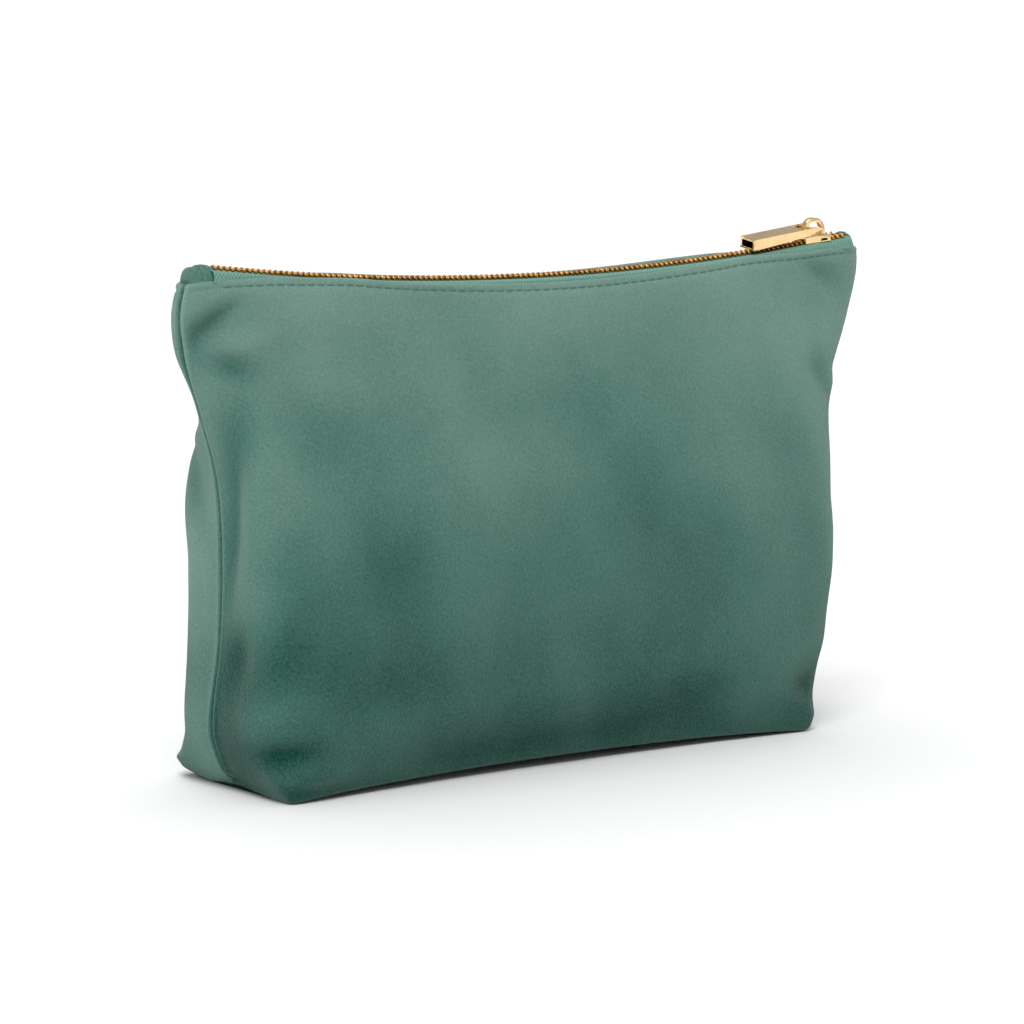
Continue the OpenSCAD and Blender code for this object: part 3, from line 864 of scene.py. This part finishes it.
def joined_tubes(paths, radius):
    """Points, faces and texture places of closed round tubes along some paths."""
    sides = THIN_SIDES
    points, faces, uvs, start = [], [], [], 0
    for path in paths:
        loops = tube(path, radius, sides)
        count = len(loops)
        for i in range(count - 1):
            for j in range(sides):
                k = (j + 1) % sides
                faces.append((start + i * sides + j, start + i * sides + k,
                              start + (i + 1) * sides + k, start + (i + 1) * sides + j))
        faces.append(tuple(start + j for j in range(sides))[::-1])
        faces.append(tuple(start + (count - 1) * sides + j for j in range(sides)))
        points.append(loops.reshape(-1, 3))
        uvs.append(tube_uv(loops).reshape(-1, 2))
        start += count * sides
    return np.concatenate(points), faces, np.concatenate(uvs)


def half_tubes(node, paths, radius, look):
    """Pieces made of one or more tubes on each half of a wall."""
    for end in ENDS:
        piece = new_object(f"{node}_{end}", *joined_tubes(paths[end], radius))
        finish_half(piece, node, look)


def build_coils():
    """The coil on each tape, and the cord that runs through its loops."""
    count = int((CHAIN_HALF - 1) / COIL_PITCH)
    for name, side in SIDES.items():
        paths = {"left": [coil_path(side, -count, 0)], "right": [coil_path(side, 0, count)]}
        half_tubes(f"{name}_zip_coil", paths, COIL_WIRE_R, COIL)
        cords = {}
        for end, sign in ENDS.items():
            x = np.linspace(0, sign * (CHAIN_HALF - CORD_END), 60)
            cords[end] = [on_arc(x, ZIP_Y + side * (CORD_OUT + parted(x)), -0.02 + 0 * x)]
        half_tubes(f"{name}_coil_cord", cords, CORD_R, CORD)


STITCH_PITCH = 3.3
STITCH_R = 0.2
STITCHED_HALF = 118


def build_topstitching():
    """The row of stitches along each hem."""
    for name, side in SIDES.items():
        wall = WALLS[name]
        below = rim_z(wall.points[..., 0], side) - wall.points[..., 2]
        row = int(np.argmin(np.abs(below[wall.middle] - STITCH_BELOW)))
        line = wall.points[:, row] + wall.normal[:, row] * 0.02
        length = np.concatenate([[0], np.cumsum(np.linalg.norm(np.diff(line, axis=0), axis=1))])
        length -= length[wall.middle]
        paths = {}
        for end, sign in ENDS.items():
            stitches = []
            for i in range(int(STITCHED_HALF / STITCH_PITCH)):
                reach = sign * (np.linspace(0.12, 0.88, 7) + i) * STITCH_PITCH
                path = np.stack([np.interp(reach, length, line[:, k]) for k in range(3)], axis=-1)
                out = np.interp(reach, length, wall.normal[:, row, 1])
                bow = np.sin(np.linspace(0, math.pi, 7)) * 0.14 - 0.12
                path[:, 1] += np.sign(out) * bow
                stitches.append(path)
            paths[end] = stitches
        half_tubes(f"{name}_topstitch", paths, STITCH_R, THREAD)


# ---------- slider and pull ----------

FLAT_ANGLE = math.radians(2)
SHARP_ANGLE = math.radians(35)


def detailed_copy(name, node, body, width, share):
    """A CAD piece's own shape with its flat faces joined and its edges rounded: by a width in
    millimetres times the share that a function gives for each edge's two ends."""
    mesh = frame["nodes"][node].data.copy()
    obj = add_object(name, mesh)
    mesh.materials.clear()
    shape = bmesh.new()
    shape.from_mesh(mesh)
    bmesh.ops.remove_doubles(shape, verts=shape.verts, dist=0.01 * MM)
    bmesh.ops.dissolve_limit(shape, angle_limit=FLAT_ANGLE, verts=shape.verts, edges=shape.edges)
    weight = shape.edges.layers.float.new("bevel_weight_edge")
    for edge in shape.edges:
        if edge.calc_face_angle(0) > SHARP_ANGLE:
            edge[weight] = share(*(np.array(vert.co) / MM for vert in edge.verts))
    shape.to_mesh(mesh)
    shape.free()
    mesh.polygons.foreach_set("use_smooth", [True] * len(mesh.polygons))
    rounded = obj.modifiers.new("rounded", "BEVEL")
    rounded.width = width * MM
    rounded.segments = 4
    rounded.limit_method = "WEIGHT"
    rounded.harden_normals = True
    dg = bpy.context.evaluated_depsgraph_get()
    done = bpy.data.meshes.new_from_object(obj.evaluated_get(dg))
    obj.modifiers.clear()
    obj.data = done
    done.name = name
    finish_still(obj, body, node, GOLD)


# Top of the slider's upper plate, above the zip.
PLATE_TOP = 1.5
PULL_HALF_W, PULL_HALF_H, PULL_PIN_HALF_H, PULL_LENGTH = 3.1, 1.75, 1.1, 26.8
# Square to the zip at the slider, and from the cross pin along the pull.
PIN_LEAN = PIN_X / (ARC_R - PIN_ABOVE_ZIP)
ZIP_UP = (-PIN_LEAN, 0, math.sqrt(1 - PIN_LEAN**2))
PULL_AXIS = -np.cross(JOINTS["pull_swing"]["axis"], ZIP_UP)
PULL_AXIS /= np.linalg.norm(PULL_AXIS)


def slider_edge(start, end):
    """The bridge is round all over, and the body's edges are only broken."""
    lowest = min(ARC_R - math.hypot(p[0], ARC_Z - p[2]) for p in (start, end))
    return 1.0 if lowest > PLATE_TOP + 0.05 else 0.3


def pull_edge(start, end):
    """The pull's long outer edges are well rounded, and the others only broken."""
    line = end - start
    length = np.linalg.norm(line)
    if length < 12 or abs(line @ PULL_AXIS) < 0.98 * length:
        return 0.25
    middle = (start + end) / 2 - np.array([PIN_X, PIN_Y, PIN_Z])
    reach = middle @ PULL_AXIS
    half_h = PULL_PIN_HALF_H + (PULL_HALF_H - PULL_PIN_HALF_H) * reach / PULL_LENGTH
    out = np.linalg.norm(middle - PULL_AXIS * reach)
    return 1.0 if out > math.hypot(PULL_HALF_W, half_h) - 0.3 else 0.25


def build_fittings():
    """The slider, the pull and its cross pin."""
    detailed_copy("slider", "slider_body", "slider", 0.5, slider_edge)
    detailed_copy("pull", "pull_tube", "pull", 0.8, pull_edge)
    detailed_copy("pull_cross_pin", "pull_pin", "pull", 0.15, lambda start, end: 1.0)


# ---------- base, seams and tabs ----------


def base_grid(inset, height):
    """Points of a level layer of the base, bounded by its outline less an inset: a rectangle
    with rounded corners, squarer for a larger n."""
    u, w = np.meshgrid(np.linspace(-1, 1, 64), np.linspace(-1, 1, 24), indexing="ij")
    n = 12.0
    big = np.maximum(np.abs(u), np.abs(w))
    k = big * (np.abs(u) ** n + np.abs(w) ** n + 1e-30) ** (-1 / n)
    flat = np.stack([(BASE_HALF_W - inset) * u * k, (BASE_HALF_D - inset) * w * k,
                     np.full_like(u, height)], axis=-1)
    share = smooth(1 - (1 - np.abs(w * k)) * BASE_HALF_D / EDGE_FADE)
    return settle(flat, share)


def base_sheet(name, low, high, inset, look, slot, node):
    """One closed layer of the base."""
    under, over = base_grid(inset, low), base_grid(inset, high)
    loops = sheet_loops(under, over)
    u = under[:, 0, 0]
    piece = skin(name, loops, loops_uv(loops, u), loop_normals(loops), flip=True)
    # The base velvet carries the painted shade of the walls' foot.
    if slot == "velvet":
        add_painted_shading(piece, np.full(loops.shape[:2], PAINTED_LIGHT_BY_HEIGHT[0][1]))
    finish_still(piece, "base", node, look)


def build_base():
    """The velvet, padding and lining of the base."""
    base_sheet("base_velvet", 0.04, VELVET_T, FLOOR_EDGE_R - 0.3, VELVET, "velvet", "base_panel")
    base_sheet("base_padding", 1.05, 2.2, 2.2, INTERLINING, "interlining", "base_interlining")
    base_sheet("base_inside", 3.3, 3.7, 4.2, LINING, "lining", "base_lining")


STRIP_SIDES = 12


def strip(name, path, half_w, node):
    """A soft strip of velvet along a path, sewn into a seam."""
    loops = tube(path, half_w, STRIP_SIDES)
    piece = skin(name, loops, tube_uv(loops), loop_normals(loops))
    finish_still(piece, "base", node, VELVET)


def build_seams():
    """The seam allowances inside the side seams and the boxed corners."""
    for end, sign in ENDS.items():
        wall = WALLS["front"]
        edge = wall.points[0 if sign < 0 else -1]
        path = edge[20:-6:3].copy()
        path[:, 0] -= sign * 1.6
        strip(f"{end}_side_seam_allowance", path, 0.7, f"{end}_side_seam")
        low, high = frame_box(f"{end}_corner_seam")
        y = np.linspace(low[1], high[1], 30)
        across = np.stack([np.full(30, (low[0] + high[0]) / 2), y,
                           (low[2] + high[2]) / 2 + 0.15 + 0 * y], axis=-1)
        strip(f"{end}_corner_seam_allowance", across, 0.5, f"{end}_corner_seam")


TAB_START = -0.7
# A tab's top, above the end of the zip, slopes down a little towards its blunt outer end.
TAB_TOP = 0.4
TAB_FALL = 0.3
TAB_ROUND = 2.2
TAB_END_DROP = 1.6
# The top lies behind the tab's middle, and the front slopes from it to the front hem.
TAB_CREST = 0.3
# Pipes and grooves across a tab: distance beyond the zip's end, half width and height.
TAB_CREASES = (
    (0.6, 0.35, 0.35), (1.9, 0.35, 0.35), (1.25, 0.25, -0.35), (2.6, 0.35, -0.5))
TAB_STITCH_AT = 2.6
TAB_STITCHES = 4


def hem_depth(side, x):
    """Distance from the zip's middle to the outer face of a wall's hem, at x."""
    top = WALLS["front" if side < 0 else "back"].points[:, -1]
    return np.interp(x, top[:, 0], np.abs(top[:, 1] - ZIP_Y))


def tab_length(sign):
    """Distance from the end of the chain to the top of the side seam."""
    return abs(WALLS["front"].points[0 if sign < 0 else -1][-1, 0]) - CHAIN_HALF


def tab_surface(end, reach, across):
    """A point on top of a tab: reach is the distance beyond the end of the chain, and across
    runs from -1 at the front hem to 1 at the back hem."""
    sign = ENDS[end]
    x = sign * (CHAIN_HALF + reach)
    last = tab_length(sign)
    share = reach / last
    side = np.where(across < 0, -1, 1)
    half = np.where(side < 0, hem_depth(-1, x), hem_depth(1, x)) - 0.9
    last_round = 1 - np.clip((reach - last + TAB_ROUND) / TAB_ROUND, 0, 0.99) ** 2
    closing = np.where(side < 0, 1, 0.6 + 0.4 * last_round**0.5)
    peak = zip_z(CHAIN_HALF) + TAB_TOP - TAB_FALL * smooth(share)
    peak = peak - TAB_END_DROP * (1 - last_round**0.5)
    edge = np.where(side < 0, rim_z(x, -1), rim_z(x, 1)) - 0.4
    power = 1.5 + 4 * math.exp(-((reach / 1.4) ** 2))
    front = 1 - np.abs((across - TAB_CREST) / (1 + TAB_CREST)) ** power
    back = (1 - np.clip((across - TAB_CREST) / (1 - TAB_CREST), 0, 1) ** 2.4) ** 0.6
    crown = np.where(across < TAB_CREST, front, back)
    z = edge + (peak - edge) * crown * smooth((reach - TAB_START) / 0.5 + 0.75)
    for place, width, height in TAB_CREASES:
        z = z + height * np.exp(-(((reach - place) / width) ** 2)) * (1 - across**8)
    return np.stack([x + 0 * across, ZIP_Y + half * closing * across, z], axis=-1)


def build_tabs():
    """The folded tab over each end of the zip, with its stitches."""
    for end, sign in ENDS.items():
        across = np.linspace(-1, 1, 25)
        loops = []
        for reach in np.linspace(TAB_START, tab_length(sign) - 0.3, 44):
            over = tab_surface(end, reach, across)
            under = over[::-1].copy()
            lowest = rim_z(sign * (CHAIN_HALF + reach), -1) - 1.6
            under[:, 2] = np.minimum(under[:, 2] - 1.2, lowest)
            loops.append(np.concatenate([over, under]))
        loops = np.array(loops)
        piece = skin(f"{end}_tab", loops, loops_uv(loops, loops[:, 0, 0]), flip=sign < 0)
        # Painted light on the left tab and painted shade on the right one.
        add_painted_shading(piece, np.full(loops.shape[:2], 0.05 if sign < 0 else -0.12))
        finish_still(piece, "base", f"{end}_end_tab", VELVET)
        build_tab_stitching(end)


def build_tab_stitching(end):
    """A short row of stitches across a tab, in the groove beside its pipes."""
    tubes = []
    for i in range(TAB_STITCHES):
        across = (np.linspace(0.12, 0.82, 7) + i) / TAB_STITCHES * 1.7 - 0.85
        path = tab_surface(end, TAB_STITCH_AT, across)
        path[:, 2] += np.sin(np.linspace(0, math.pi, 7)) * 0.16 - 0.02
        tubes.append(path)
    piece = new_object(f"{end}_tab_stitches", *joined_tubes(tubes, STITCH_R))
    finish_still(piece, "base", f"{end}_tab_stitching", THREAD)


# ---------- camera, light and floor ----------


# Lamps: name, where each shines from, how wide it looks in degrees, and power.
LAMPS = (
    ("key", (-0.5, -0.55, 1.0), 26, 1.7), ("top", (0.1, 0.35, 1.0), 60, 0.9),
    ("side", (-1.0, 0.15, 0.35), 45, 0.5), ("fill", (0.9, -0.8, 0.5), 80, 0.2))
FLOOR_HALF = 40


def build_stage():
    """Camera, lamps, floor and surroundings."""
    azimuth, elevation, distance = math.radians(-36.67), math.radians(7.62), 1.2675
    focal, sensor = 147.762, 36
    side_shift, target_z = 0.00247, 0.07357
    back = Vector((math.sin(azimuth) * math.cos(elevation),
                   -math.cos(azimuth) * math.cos(elevation), math.sin(elevation)))
    target = Vector((side_shift * math.cos(azimuth), side_shift * math.sin(azimuth), target_z))
    camera = add_object("camera", bpy.data.cameras.new("camera"))
    camera.data.lens, camera.data.sensor_width = focal, sensor
    camera.data.clip_start, camera.data.clip_end = 0.05, 100
    camera.location = target + back * distance
    camera.rotation_euler = (-back).to_track_quat("-Z", "Y").to_euler()
    bpy.context.scene.camera = camera

    for name, place, spread, power in LAMPS:
        lamp = bpy.data.lights.new(name, "SUN")
        lamp.angle, lamp.energy = math.radians(spread), power
        light = add_object(name, lamp)
        light.location = place
        light.rotation_euler = (-Vector(place)).to_track_quat("-Z", "Y").to_euler()

    mesh = bpy.data.meshes.new("floor")
    far = FLOOR_HALF
    corners = [(-far, -far, 0), (far, -far, 0), (far, far, 0), (-far, far, 0)]
    mesh.from_pydata(corners, [], [(0, 1, 2, 3)])
    floor = add_object("floor", mesh)
    made, _, shader, _ = material("floor")
    shader.inputs["Base Color"].default_value = (0.9, 0.9, 0.9, 1)
    shader.inputs["Roughness"].default_value = 0.9
    mesh.materials.append(made)

    world = bpy.data.worlds.new("world")
    bpy.context.scene.world = world
    world.use_nodes = True
    sky = world.node_tree.nodes["Background"].inputs
    sky["Color"].default_value = (1, 1, 1, 1)
    sky["Strength"].default_value = 0.45
    bpy.context.scene.view_settings.view_transform = "Standard"


WALLS = {name: Wall(side) for name, side in SIDES.items()}
build_stage()
build_walls()
build_tapes()
build_coils()
build_topstitching()
build_fittings()
build_base()
build_seams()
build_tabs()
